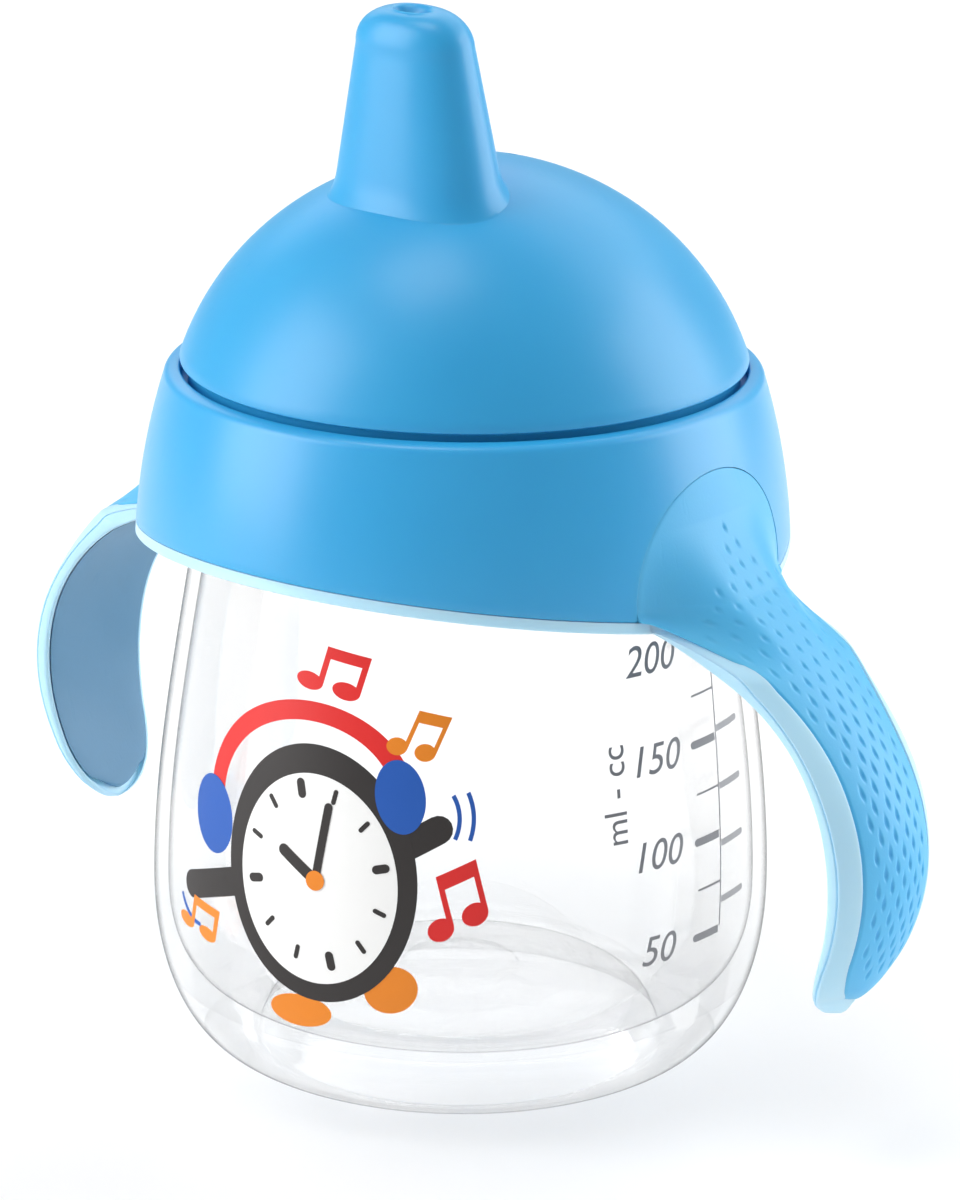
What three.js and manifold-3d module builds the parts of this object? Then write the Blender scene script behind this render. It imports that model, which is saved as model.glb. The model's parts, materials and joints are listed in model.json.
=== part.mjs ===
// Two-handled spout training cup: clear tumbler, screw collar with hanging
// handles, spout lid, silicone valve and rim seal.
// Millimetres, +Z up. The origin is the centre of the foot, on the surface
// that the cup stands on. The handles lie along X and the spout leans to -Y.

import * as THREE from 'three';
import { mergeVertices } from 'three/addons/utils/BufferGeometryUtils.js';
import Module from 'manifold-3d';

const wasm = await Module();
wasm.setup();

// ---------------------------------------------------------------- dimensions

const GAP = 0.3;                 // clearance between pieces that touch
const ROUND_STEPS = 40;          // sides of the large turned pieces
const SPOUT_STEPS = 28;          // sides of the spout

// Tumbler
const FOOT_RADIUS = 29.0;
const FOOT_INNER_RADIUS = 26.0;
const BELLY_RADIUS = 39.3;
const BELLY_HEIGHT = 21.6;
const SHOULDER_RADIUS = 34.5;
const SHOULDER_HEIGHT = 63.5;
const NECK_RADIUS = 33.4;
const NECK_HEIGHT = 70.0;
const RIM_HEIGHT = 83.4;
const TUMBLER_WALL = 1.8;
const FLOOR_TOP = 8.6;
const FLOOR_THICKNESS = 1.9;
const BUMP_RADIUS = 7.2;
const BUMP_HEIGHT = 1.1;

// Screw thread, three starts, right-handed
const THREAD_STARTS = 3;
const THREAD_LEAD = 12.0;
const THREAD_TURNS = 0.42;
const THREAD_BEAD = 1.2;         // radius of the half-buried round bead
const THREAD_BASE = 73.6;        // height where each tumbler bead starts

// Collar
const COLLAR_BORE = 35.3;
const COLLAR_TOP = 88.5;
const COLLAR_TOP_RADIUS = 37.3;
const LIP_RADIUS = 35.55;
const LIP_UNDERSIDE = 87.2;
const SHELL_WALL = 1.2;
const SHELL_CAVITY_RADIUS = 36.85;
const CORE_TOP = 84.9;
const EDGE_LOW = 64.5;           // shell's lower edge beside the handles
const EDGE_RISE = 7.0;           // how much higher that edge is at the front
const CORE_SHOW = 1.5;           // width of the core seen under the shell
const SKIRT_RADIUS = 41.3;

// Handles
const HANDLE_REACH = 67.5;       // largest distance from the axis to the outer face
const HANDLE_THICKNESS = 4.4;
const BLADE_HALF_WIDTH = 9.8;
const ROOT_HALF_WIDTH = 17.0;
const BLADE_END_RADIUS = 8.4;
const HANDLE_TIP = 17.2;
const HANDLE_ROOT = 73.0;        // height where the blade meets the collar
const ROOT_SHOULDER = 66.0;      // height where the blade starts to narrow
const GRIP_INSET = 2.8;
const GRIP_DEPTH = 1.5;
const ARCH_HALF_WIDTH = 14.3;
const ARCH_TOP = 82.6;
const ARCH_BASE = 68.0;
const ARCH_FOOT = 69.5;          // where the grip leaves the collar's surface
const PAD_INSET = 1.4;
const PAD_DEPTH = 1.0;
const PAD_TOP = 59.0;

// Lid
const DOME_RADIUS = 37.4;
const DOME_RISE = 36.4;
const DOME_CENTRE = 78.7;
const DOME_EDGE = 90.1;
const LID_WALL = 1.8;
const LID_NECK_RADIUS = 35.2;
const FLANGE_RADIUS = 36.6;
const FLANGE_TOP = 86.9;
const FLANGE_THICKNESS = 1.6;
const SPIGOT_RADIUS = 31.3;
const SPIGOT_WALL = 1.6;
const SPIGOT_FOOT = 80.5;

// Spout, an oval cone that leans forward
const SPOUT_FOOT_HEIGHT = 104.0;
const SPOUT_FOOT_Y = -6.8;
const SPOUT_LEAN = THREE.MathUtils.degToRad(6.5);
const SPOUT_LENGTH = 31.5;
const SPOUT_FOOT_HALF = 12.9;
const SPOUT_HALF_LOW = 11.9;     // half-width across, where it leaves the dome
const SPOUT_HALF_HIGH = 8.5;     // half-width across, at the shoulder
const SPOUT_FLATNESS = 0.6;      // half-depth over half-width
const SPOUT_WALL = 1.8;
const CHANNEL_FLATNESS = 0.52;
const SPOUT_HOLE_RADIUS = 1.9;

// Sockets under the dome, and the valve that plugs into them
const SOCKET_FOOT = 97.0;
const SOCKET_WALL = 1.4;
const VENT_Y = 9.0;
const VENT_SOCKET_RADIUS = 5.0;
const VENT_HOLE_RADIUS = 0.8;
const PLATE_TOP = 96.6;
const PLATE_THICKNESS = 1.6;
const PLATE_MARGIN = 2.6;
const PLUG_LENGTH = 6.4;
const PLUG_WALL = 1.1;
const SLIT_LENGTH = 5.0;
const SLIT_WIDTH = 0.5;
const TAB_HEIGHT = 6.5;
const TAB_HALF_WIDTH = 5.0;
const TAB_THICKNESS = 2.0;

// Rim seal
const SEAL_INNER_RADIUS = 31.8;
const SEAL_OUTER_RADIUS = 34.8;
const SEAL_GAP = 0.15;

const RIGHT = 1;
const LEFT = -1;

// ------------------------------------------------------------- solid helpers

function signedVolume(vertices, triangles) {
  const corners = [new THREE.Vector3(), new THREE.Vector3(), new THREE.Vector3()];
  let sum = 0;
  for (let i = 0; i < triangles.length; i += 3) {
    corners.forEach((corner, k) => corner.fromArray(vertices, triangles[i + k] * 3));
    sum += corners[0].dot(corners[1].clone().cross(corners[2]));
  }
  return sum / 6;
}

// Turns closed geometry into a solid, with its faces pointing out.
function solid(geometry) {
  const plain = geometry.clone();
  plain.deleteAttribute('normal');
  plain.deleteAttribute('uv');
  const merged = mergeVertices(plain, 1e-3);
  const vertProperties = new Float32Array(merged.attributes.position.array);
  const triangles = [];
  for (let i = 0; i < merged.index.count; i += 3) {
    const [a, b, c] = [0, 1, 2].map((k) => merged.index.getX(i + k));
    if (a !== b && b !== c && c !== a) {
      triangles.push(a, b, c);
    }
  }
  if (signedVolume(vertProperties, triangles) < 0) {
    triangles.reverse();
  }
  const triVerts = new Uint32Array(triangles);
  return new wasm.Manifold(new wasm.Mesh({ numProp: 3, vertProperties, triVerts }));
}

function toGeometry(body) {
  const mesh = body.getMesh();
  const geometry = new THREE.BufferGeometry();
  geometry.setAttribute('position', new THREE.BufferAttribute(mesh.vertProperties, 3));
  geometry.setIndex(new THREE.BufferAttribute(mesh.triVerts, 1));
  geometry.computeVertexNormals();
  return geometry;
}

// Turns an outline of [radius, height] points about the Z axis. An outline
// that doesn't start on the axis is closed on itself.
function turned(outline, sides = ROUND_STEPS) {
  const points = outline.map(([radius, height]) => new THREE.Vector2(radius, height));
  if (outline[0][0] > 0) {
    points.push(points[0].clone());
  }
  return new THREE.LatheGeometry(points, sides).rotateX(Math.PI / 2);
}

// A prism whose outline is drawn in X and Z, as deep as `depth` along Y.
function sidePrism(shape, depth, curveSegments = 12) {
  const settings = { depth, bevelEnabled: false, curveSegments };
  return new THREE.ExtrudeGeometry(shape, settings)
    .translate(0, 0, -depth / 2)
    .rotateX(Math.PI / 2);
}

// A prism whose outline is drawn in Y and Z, reaching from x = 0 to x = reach.
function frontPrism(shape, reach, curveSegments = 12) {
  const settings = { depth: reach, bevelEnabled: false, curveSegments };
  return new THREE.ExtrudeGeometry(shape, settings)
    .rotateX(Math.PI / 2)
    .rotateZ(Math.PI / 2);
}

// A flat plate drawn in X and Y, from height `low` to height `high`.
function plate(shape, low, high, curveSegments = 12) {
  const settings = { depth: high - low, bevelEnabled: false, curveSegments };
  return new THREE.ExtrudeGeometry(shape, settings).translate(0, 0, low);
}

function tube(outer, inner, low, high, sides = 32) {
  return turned([[outer, low], [outer, high], [inner, high], [inner, low]], sides);
}

function rod(radius, low, high, sides = 24) {
  return turned([[0, low], [radius, low], [radius, high], [0, high]], sides);
}

function mirroredX(body) {
  return solid(toGeometry(body).applyMatrix4(new THREE.Matrix4().makeScale(-1, 1, 1)));
}

function toPairs(path, divisions) {
  return path.getPoints(divisions).map((point) => [point.x, point.y]);
}

// -------------------------------------------------------------------- thread

class Helix extends THREE.Curve {
  constructor(radius, base, startAngle) {
    super();
    Object.assign(this, { radius, base, startAngle });
  }

  getPoint(t, target = new THREE.Vector3()) {
    const angle = this.startAngle + t * THREAD_TURNS * 2 * Math.PI;
    const height = this.base + t * THREAD_TURNS * THREAD_LEAD;
    return target.set(this.radius * Math.cos(angle), this.radius * Math.sin(angle), height);
  }
}

function withThread(body, radius, base) {
  const section = new THREE.Shape().absarc(0, 0, THREAD_BEAD, 0, 2 * Math.PI);
  let threaded = body;
  for (let start = 0; start < THREAD_STARTS; start += 1) {
    const path = new Helix(radius, base, (start * 2 * Math.PI) / THREAD_STARTS);
    const bead = new THREE.ExtrudeGeometry(section, {
      steps: 14, curveSegments: 3, extrudePath: path, bevelEnabled: false,
    });
    threaded = threaded.add(solid(bead));
  }
  return threaded;
}

// ------------------------------------------------------------------- tumbler

function tumbler() {
  const innerBelly = BELLY_RADIUS - TUMBLER_WALL;
  const innerShoulder = SHOULDER_RADIUS - TUMBLER_WALL;
  const innerNeck = NECK_RADIUS - TUMBLER_WALL;
  const punt = FLOOR_TOP - FLOOR_THICKNESS;
  const path = new THREE.Path();
  path.moveTo(0, punt);
  path.lineTo(FOOT_INNER_RADIUS - 2, punt);
  path.lineTo(FOOT_INNER_RADIUS, 0);
  path.lineTo(FOOT_RADIUS, 0);
  path.bezierCurveTo(34.5, 0.9, BELLY_RADIUS, 9, BELLY_RADIUS, BELLY_HEIGHT);
  path.bezierCurveTo(BELLY_RADIUS, 36, 36.3, 52, SHOULDER_RADIUS, SHOULDER_HEIGHT);
  path.lineTo(NECK_RADIUS, NECK_HEIGHT);
  path.lineTo(NECK_RADIUS, RIM_HEIGHT - 0.5);
  path.lineTo(NECK_RADIUS - 0.5, RIM_HEIGHT);
  path.lineTo(innerNeck, RIM_HEIGHT);
  path.lineTo(innerNeck, NECK_HEIGHT);
  path.lineTo(innerShoulder, SHOULDER_HEIGHT);
  path.bezierCurveTo(34.5, 52, innerBelly, 36, innerBelly, BELLY_HEIGHT);
  path.bezierCurveTo(innerBelly, 13, 34, FLOOR_TOP, 28, FLOOR_TOP);
  path.lineTo(BUMP_RADIUS, FLOOR_TOP);
  path.lineTo(BUMP_RADIUS - 0.8, FLOOR_TOP + BUMP_HEIGHT);
  path.lineTo(0, FLOOR_TOP + BUMP_HEIGHT);
  return withThread(solid(turned(toPairs(path, 5))), NECK_RADIUS, THREAD_BASE);
}

// -------------------------------------------------------------------- collar

// Outer radius of the collar at a height: it widens downwards in a soft curve.
function collarRadius(height) {
  const drop = COLLAR_TOP - height;
  return Math.min(COLLAR_TOP_RADIUS + 0.32 * drop - 0.0064 * drop * drop, SKIRT_RADIUS);
}

const COLLAR_HEIGHTS = [88.2, 84, 80, 76, 72, 68, 64, 60];

// The V-shaped wedge under the collar's wavy lower edge: the edge is lowest
// beside the handles and rises towards the front and the back.
function underEdge(lift) {
  const reach = 60;
  const rise = (EDGE_RISE * reach) / SKIRT_RADIUS;
  const shape = new THREE.Shape();
  shape.moveTo(-reach, 20);
  shape.lineTo(reach, 20);
  shape.lineTo(reach, EDGE_LOW + rise + lift);
  shape.lineTo(0, EDGE_LOW + lift);
  shape.lineTo(-reach, EDGE_LOW + rise + lift);
  shape.closePath();
  return solid(frontPrism(shape, 2 * reach).translate(-reach, 0, 0));
}

// The inside of the shell's wall, from the core's top downwards.
function shellInside(inset) {
  const wall = COLLAR_HEIGHTS.slice(1)
    .map((height) => [collarRadius(height) - SHELL_WALL - inset, height]);
  return [[SHELL_CAVITY_RADIUS - inset, CORE_TOP], ...wall];
}

function shellBand() {
  return solid(turned([
    [LIP_RADIUS, COLLAR_TOP],
    [COLLAR_TOP_RADIUS - GAP, COLLAR_TOP],
    ...COLLAR_HEIGHTS.map((height) => [collarRadius(height), height]),
    ...shellInside(0).reverse(),
    [SHELL_CAVITY_RADIUS, LIP_UNDERSIDE],
    [LIP_RADIUS, LIP_UNDERSIDE],
  ]));
}

// All the space outside the core's wall, where the shell wraps round it.
function aroundCore() {
  const wide = SKIRT_RADIUS + 15;
  return solid(turned([
    [wide, CORE_TOP + 5],
    [SHELL_CAVITY_RADIUS - GAP, CORE_TOP + 5],
    ...shellInside(GAP),
    [wide, COLLAR_HEIGHTS.at(-1)],
  ]));
}

// A slab as wide as the cup, from height `low` up to height `high`.
function slab(low, high) {
  return solid(rod(SKIRT_RADIUS + 40, low, high, 8));
}

// The arch that the soft grip covers on the collar's side, seen from the side.
function archShape(grow) {
  const half = ARCH_HALF_WIDTH + grow;
  const shape = new THREE.Shape();
  shape.moveTo(-half, 40);
  shape.lineTo(half, 40);
  shape.lineTo(half, ARCH_BASE);
  shape.absellipse(0, ARCH_BASE, half, ARCH_TOP - ARCH_BASE + grow, 0, Math.PI);
  shape.closePath();
  return shape;
}

function arch(grow, side) {
  const prism = solid(frontPrism(archShape(grow), 80));
  return side === RIGHT ? prism : mirroredX(prism);
}

function collarShell() {
  return shellBand()
    .subtract(underEdge(0))
    .subtract(arch(0, RIGHT))
    .subtract(arch(0, LEFT));
}

// ------------------------------------------------------------------- handles

// The outer face of the right handle in X and Z, from the collar to its tip.
function outerFace() {
  const path = new THREE.Path();
  path.moveTo(41, HANDLE_ROOT);
  path.bezierCurveTo(45, 64.5, HANDLE_REACH, 57.5, HANDLE_REACH, 37);
  path.bezierCurveTo(HANDLE_REACH, 30, 65, 23.5, 61.8, 18.4);
  return path;
}

// The inner face, from the collar to the tip.
function innerFace() {
  const path = new THREE.Path();
  const reach = HANDLE_REACH - HANDLE_THICKNESS;
  path.moveTo(36.5, 64);
  path.bezierCurveTo(43, 59.5, reach, 55.5, reach, 37);
  path.bezierCurveTo(reach, 31, 61, 25.5, 57.9, 20.2);
  return path;
}

// Points of a path moved away from the cup's axis, or towards it if negative.
function offsetPoints(path, distance, divisions) {
  return path.getSpacedPoints(divisions).map((point, i) => {
    const ahead = path.getTangentAt(i / divisions);
    return new THREE.Vector2(point.x - ahead.y * distance, point.y + ahead.x * distance);
  });
}

// The handle's section: both faces and the round tip between them.
function handleProfile() {
  const path = new THREE.Path(outerFace().getPoints(8));
  path.absarc(59.85, 19.3, 2.15, -0.432, -Math.PI - 0.432, true);
  const inner = innerFace().getPoints(8).reverse().map((point) => [point.x, point.y]);
  return [...toPairs(path, 3), ...inner, [36.5, HANDLE_ROOT]];
}

// The blade seen from the side of the cup, wide at the collar, round below.
function bladeShape(inset) {
  const half = BLADE_HALF_WIDTH - inset;
  const root = ROOT_HALF_WIDTH - inset;
  const endRadius = BLADE_END_RADIUS - inset;
  const endCentre = HANDLE_TIP + BLADE_END_RADIUS;
  const shape = new THREE.Shape();
  shape.moveTo(-root, HANDLE_ROOT);
  shape.lineTo(-root, ROOT_SHOULDER);
  shape.bezierCurveTo(-root + 4.5, 61.5, -half, 60, -half, 50);
  shape.bezierCurveTo(-half, 40, -endRadius, 34, -endRadius, endCentre);
  shape.absarc(0, endCentre, endRadius, Math.PI, 2 * Math.PI);
  shape.bezierCurveTo(endRadius, 34, half, 40, half, 50);
  shape.bezierCurveTo(half, 60, root - 4.5, 61.5, root, ROOT_SHOULDER);
  shape.lineTo(root, HANDLE_ROOT);
  shape.closePath();
  return shape;
}

function blade(inset, side) {
  const prism = solid(frontPrism(bladeShape(inset), 80, 6));
  return side === RIGHT ? prism : mirroredX(prism);
}

// A layer against one face of the handle. Both faces curve round the cup, so
// they are turned about its axis and the blade's outline is cut from them.
function faceLayer(path, from, to, divisions = 12) {
  const near = offsetPoints(path, from, divisions);
  const far = offsetPoints(path, to, divisions);
  return solid(turned([...near, ...far.reverse()].map((point) => [point.x, point.y])));
}

function handleArm(side) {
  return solid(turned(handleProfile())).intersect(blade(0, side));
}

// The soft grip's skin on the blade, or with `grow` the pocket that it lies in.
function gripOnBlade(side, grow) {
  const outside = grow > 0 ? 3 : 0;
  return faceLayer(outerFace(), -GRIP_DEPTH - grow, outside)
    .intersect(blade(GRIP_INSET - grow, side))
    .intersect(arch(grow - GAP, side));
}

// The whole soft grip: an arch on the collar's side that runs on down the blade.
function grip(side) {
  const onCollar = shellBand()
    .intersect(arch(-GAP, side))
    .intersect(slab(ARCH_FOOT, COLLAR_TOP));
  return onCollar.add(gripOnBlade(side, 0));
}

// The smooth pad on the inner face, or with `grow` the pocket that it lies in.
function pad(side, grow) {
  const outside = grow > 0 ? -3 : 0;
  return faceLayer(innerFace(), PAD_DEPTH + grow, outside)
    .intersect(blade(PAD_INSET - grow, side))
    .intersect(slab(HANDLE_TIP, PAD_TOP + grow));
}

function collarCore() {
  const full = solid(turned([
    [COLLAR_BORE, CORE_TOP],
    [SHELL_CAVITY_RADIUS, CORE_TOP],
    ...COLLAR_HEIGHTS.slice(1).map((height) => [collarRadius(height), height]),
    [COLLAR_BORE, COLLAR_HEIGHTS.at(-1)],
  ]));
  const underShell = aroundCore().subtract(underEdge(-GAP));
  const underArch = aroundCore().intersect(slab(ARCH_FOOT - GAP, CORE_TOP + 5));
  const ring = full.subtract(underShell).subtract(underEdge(-CORE_SHOW - GAP));
  let core = withThread(ring, COLLAR_BORE, THREAD_BASE + THREAD_LEAD / THREAD_STARTS / 2);
  for (const side of [RIGHT, LEFT]) {
    core = core
      .add(handleArm(side).subtract(underShell.subtract(arch(0, side))).subtract(underArch))
      .subtract(gripOnBlade(side, GAP))
      .subtract(pad(side, GAP));
  }
  return core;
}

// ----------------------------------------------------------------------- lid

function ellipseArc(radius, rise, fromHeight, steps) {
  const start = Math.asin((fromHeight - DOME_CENTRE) / rise);
  return Array.from({ length: steps + 1 }, (_, i) => {
    const angle = start + ((Math.PI / 2 - start) * i) / steps;
    const onAxis = i === steps;
    return [onAxis ? 0 : radius * Math.cos(angle), DOME_CENTRE + rise * Math.sin(angle)];
  });
}

function dome() {
  const flangeFoot = FLANGE_TOP - FLANGE_THICKNESS;
  const spigotBore = SPIGOT_RADIUS - SPIGOT_WALL;
  const inside = ellipseArc(DOME_RADIUS - LID_WALL, DOME_RISE - LID_WALL, DOME_EDGE + 0.5, 8);
  return solid(turned([
    ...ellipseArc(DOME_RADIUS, DOME_RISE, DOME_EDGE, 9).reverse(),
    [LID_NECK_RADIUS, DOME_EDGE],
    [LID_NECK_RADIUS, FLANGE_TOP],
    [FLANGE_RADIUS, FLANGE_TOP],
    [FLANGE_RADIUS, flangeFoot],
    [SPIGOT_RADIUS, flangeFoot],
    [SPIGOT_RADIUS, SPIGOT_FOOT],
    [spigotBore, SPIGOT_FOOT],
    [spigotBore, FLANGE_TOP],
    ...inside,
  ]));
}

// Places a turned shape on the spout's leaning axis, flattened front to back.
function onSpout(geometry, flatness) {
  const place = new THREE.Matrix4().makeTranslation(0, SPOUT_FOOT_Y, SPOUT_FOOT_HEIGHT)
    .multiply(new THREE.Matrix4().makeRotationX(SPOUT_LEAN))
    .multiply(new THREE.Matrix4().makeScale(1, flatness, 1));
  return solid(geometry.applyMatrix4(place));
}

function spoutOutside() {
  const shoulder = SPOUT_LENGTH - 4.5;
  const path = new THREE.Path();
  path.moveTo(0, 0);
  path.lineTo(SPOUT_FOOT_HALF, 0);
  path.lineTo(SPOUT_HALF_LOW, 8);
  path.lineTo(SPOUT_HALF_HIGH, shoulder);
  path.bezierCurveTo(SPOUT_HALF_HIGH - 0.4, shoulder + 3, 5.5, SPOUT_LENGTH, 2.6, SPOUT_LENGTH);
  path.lineTo(0, SPOUT_LENGTH);
  return onSpout(turned(toPairs(path, 4), SPOUT_STEPS), SPOUT_FLATNESS);
}

function spoutChannel() {
  const shoulder = SPOUT_LENGTH - 5.5;
  const path = new THREE.Path();
  path.moveTo(0, -20);
  path.lineTo(SPOUT_HALF_LOW - SPOUT_WALL, -20);
  path.lineTo(SPOUT_HALF_LOW - SPOUT_WALL, 8);
  path.lineTo(SPOUT_HALF_HIGH - SPOUT_WALL, shoulder);
  path.bezierCurveTo(6, shoulder + 2.5, 4.5, SPOUT_LENGTH - 1.8, 2.2, SPOUT_LENGTH - 1.8);
  path.lineTo(0, SPOUT_LENGTH - 1.8);
  return onSpout(turned(toPairs(path, 3), SPOUT_STEPS), CHANNEL_FLATNESS);
}

function oval(half, depth, y = 0) {
  return new THREE.Shape().absellipse(0, y, half, depth, 0, 2 * Math.PI);
}

const CHANNEL_HALF = SPOUT_HALF_LOW - SPOUT_WALL;
const SOCKET_HALF = CHANNEL_HALF + SOCKET_WALL;
const SOCKET_DEPTH = CHANNEL_HALF * CHANNEL_FLATNESS + SOCKET_WALL;
const SOCKET_Y = -6.4;
const VENT_BORE = VENT_SOCKET_RADIUS - SOCKET_WALL;

function spoutLid() {
  const under = solid(turned([
    ...ellipseArc(DOME_RADIUS - 1, DOME_RISE - 1, DOME_EDGE, 9).reverse(),
    [0, DOME_EDGE],
  ]));
  const spoutSocket = solid(plate(oval(SOCKET_HALF, SOCKET_DEPTH, SOCKET_Y), SOCKET_FOOT, 115, 20));
  const spoutBore = solid(plate(
    oval(CHANNEL_HALF, SOCKET_DEPTH - SOCKET_WALL, SOCKET_Y), SOCKET_FOOT - 1, 107, 20));
  const ventSocket = solid(rod(VENT_SOCKET_RADIUS, SOCKET_FOOT, 115).translate(0, VENT_Y, 0));
  const ventBore = solid(rod(VENT_BORE, SOCKET_FOOT - 1, 108).translate(0, VENT_Y, 0));
  const ventHole = solid(rod(VENT_HOLE_RADIUS, SOCKET_FOOT, 120, 12).translate(0, VENT_Y, 0));
  const tipHole = onSpout(rod(SPOUT_HOLE_RADIUS, SPOUT_LENGTH - 5, SPOUT_LENGTH + 2, 20), 0.75);
  return dome()
    .add(spoutSocket.add(ventSocket).intersect(under))
    .add(spoutOutside().subtract(solid(rod(30, 60, 108.5, 24))))
    .subtract(spoutChannel().intersect(solid(rod(30, 105, 160, 24))))
    .subtract(spoutBore)
    .subtract(ventBore)
    .subtract(ventHole)
    .subtract(tipHole);
}

// ----------------------------------------------------------- valve and seal

function spoutValve() {
  const plugHalf = CHANNEL_HALF - GAP;
  const plugDepth = SOCKET_DEPTH - SOCKET_WALL - GAP;
  const plateFoot = PLATE_TOP - PLATE_THICKNESS;
  const plugTop = PLATE_TOP + PLUG_LENGTH;
  const ventPlug = VENT_BORE - GAP;
  const bridge = new THREE.Shape();
  bridge.moveTo(-ventPlug - 1, SOCKET_Y);
  bridge.lineTo(ventPlug + 1, SOCKET_Y);
  bridge.lineTo(ventPlug + 1, VENT_Y);
  bridge.lineTo(-ventPlug - 1, VENT_Y);
  bridge.closePath();
  const spoutFlange = oval(plugHalf + PLATE_MARGIN, plugDepth + PLATE_MARGIN, SOCKET_Y);
  const ventFlange = oval(ventPlug + PLATE_MARGIN, ventPlug + PLATE_MARGIN, VENT_Y);
  let body = solid(plate(bridge, plateFoot, PLATE_TOP))
    .add(solid(plate(spoutFlange, plateFoot, PLATE_TOP, 16)))
    .add(solid(plate(ventFlange, plateFoot, PLATE_TOP, 12)))
    .add(solid(plate(oval(plugHalf, plugDepth, SOCKET_Y), plateFoot, plugTop, 16)))
    .add(solid(plate(oval(ventPlug, ventPlug, VENT_Y), plateFoot, plugTop, 12)))
    .subtract(solid(plate(
      oval(plugHalf - PLUG_WALL, plugDepth - PLUG_WALL, SOCKET_Y), PLATE_TOP, plugTop + 1, 16)))
    .subtract(solid(plate(
      oval(ventPlug - PLUG_WALL, ventPlug - PLUG_WALL, VENT_Y), PLATE_TOP, plugTop + 1, 12)));
  for (const y of [SOCKET_Y - 2, VENT_Y]) {
    const half = y === VENT_Y ? SLIT_WIDTH : SLIT_LENGTH / 2;
    const slit = new THREE.BoxGeometry(2 * half, SLIT_WIDTH, 4 * PLATE_THICKNESS);
    body = body.subtract(solid(slit.translate(0, y, PLATE_TOP)));
  }
  const tab = new THREE.Shape();
  tab.moveTo(-TAB_HALF_WIDTH, plateFoot + 0.5);
  tab.lineTo(-TAB_HALF_WIDTH, plateFoot - TAB_HEIGHT + TAB_HALF_WIDTH);
  tab.absarc(0, plateFoot - TAB_HEIGHT + TAB_HALF_WIDTH, TAB_HALF_WIDTH, Math.PI, 2 * Math.PI);
  tab.lineTo(TAB_HALF_WIDTH, plateFoot + 0.5);
  tab.closePath();
  return body.add(solid(sidePrism(tab, TAB_THICKNESS).translate(0, 1.5, 0)));
}

function rimSeal() {
  const low = RIM_HEIGHT + SEAL_GAP;
  const high = FLANGE_TOP - FLANGE_THICKNESS - SEAL_GAP;
  return solid(tube(SEAL_OUTER_RADIUS, SEAL_INNER_RADIUS, low, high, ROUND_STEPS));
}

// ------------------------------------------------------------------ assembly

const MATERIALS = {
  clear: { color: 0xeef3f7, roughness: 0.08, metalness: 0 },
  blue: { color: 0x40a5de, roughness: 0.32, metalness: 0 },
  grip: { color: 0x4bb0e4, roughness: 0.5, metalness: 0 },
  pale: { color: 0xcfe6fb, roughness: 0.4, metalness: 0 },
  slate: { color: 0x739ec0, roughness: 0.55, metalness: 0 },
  silicone: { color: 0xf1f4f2, roughness: 0.6, metalness: 0 },
};

const part = new THREE.Group();

function place(name, body, material) {
  const mesh = new THREE.Mesh(
    toGeometry(body), new THREE.MeshStandardMaterial(MATERIALS[material]));
  mesh.name = name;
  part.add(mesh);
}

place('tumbler', tumbler(), 'clear');
place('collar_core', collarCore(), 'pale');
place('collar_shell', collarShell(), 'blue');
place('grip_right', grip(RIGHT), 'grip');
place('grip_left', grip(LEFT), 'grip');
place('handle_pad_right', pad(RIGHT, 0), 'slate');
place('handle_pad_left', pad(LEFT, 0), 'slate');
place('spout_lid', spoutLid(), 'blue');
place('spout_valve', spoutValve(), 'silicone');
place('rim_seal', rimSeal(), 'silicone');

export default part;
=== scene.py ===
import json
import math

import bpy
import numpy as np
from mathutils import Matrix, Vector

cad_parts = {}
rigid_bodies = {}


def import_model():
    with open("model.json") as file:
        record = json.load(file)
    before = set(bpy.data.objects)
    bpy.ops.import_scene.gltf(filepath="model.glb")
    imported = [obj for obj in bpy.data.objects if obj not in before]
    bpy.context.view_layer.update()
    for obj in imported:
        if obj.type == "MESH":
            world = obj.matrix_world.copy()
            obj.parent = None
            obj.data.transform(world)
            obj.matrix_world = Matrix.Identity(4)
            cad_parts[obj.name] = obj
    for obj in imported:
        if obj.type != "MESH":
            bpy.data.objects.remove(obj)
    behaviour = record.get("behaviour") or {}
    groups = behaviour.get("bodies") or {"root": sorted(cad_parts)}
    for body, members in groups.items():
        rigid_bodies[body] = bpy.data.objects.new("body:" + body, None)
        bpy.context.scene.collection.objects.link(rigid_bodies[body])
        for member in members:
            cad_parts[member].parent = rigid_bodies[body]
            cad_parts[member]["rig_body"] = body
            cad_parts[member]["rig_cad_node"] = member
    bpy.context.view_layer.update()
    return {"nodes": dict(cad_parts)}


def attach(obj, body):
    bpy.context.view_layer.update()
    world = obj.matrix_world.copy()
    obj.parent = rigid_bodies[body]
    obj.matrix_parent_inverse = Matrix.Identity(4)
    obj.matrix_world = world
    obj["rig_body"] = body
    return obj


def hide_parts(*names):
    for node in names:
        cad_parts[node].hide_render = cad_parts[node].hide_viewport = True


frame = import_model()

MM = 0.001
FULL_TURN = 2 * math.pi
RIGHT = 1
LEFT = -1

# Tumbler
RIM_HEIGHT = 83.4
NECK_RADIUS = 33.4
FLOOR_TOP = 8.6

# Thread
THREAD_STARTS = 3
THREAD_LEAD = 12.0
THREAD_TURNS = 0.42
THREAD_BASE = 73.6
THREAD_BEAD = 1.2
BEAD_SIDES = 12

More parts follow.
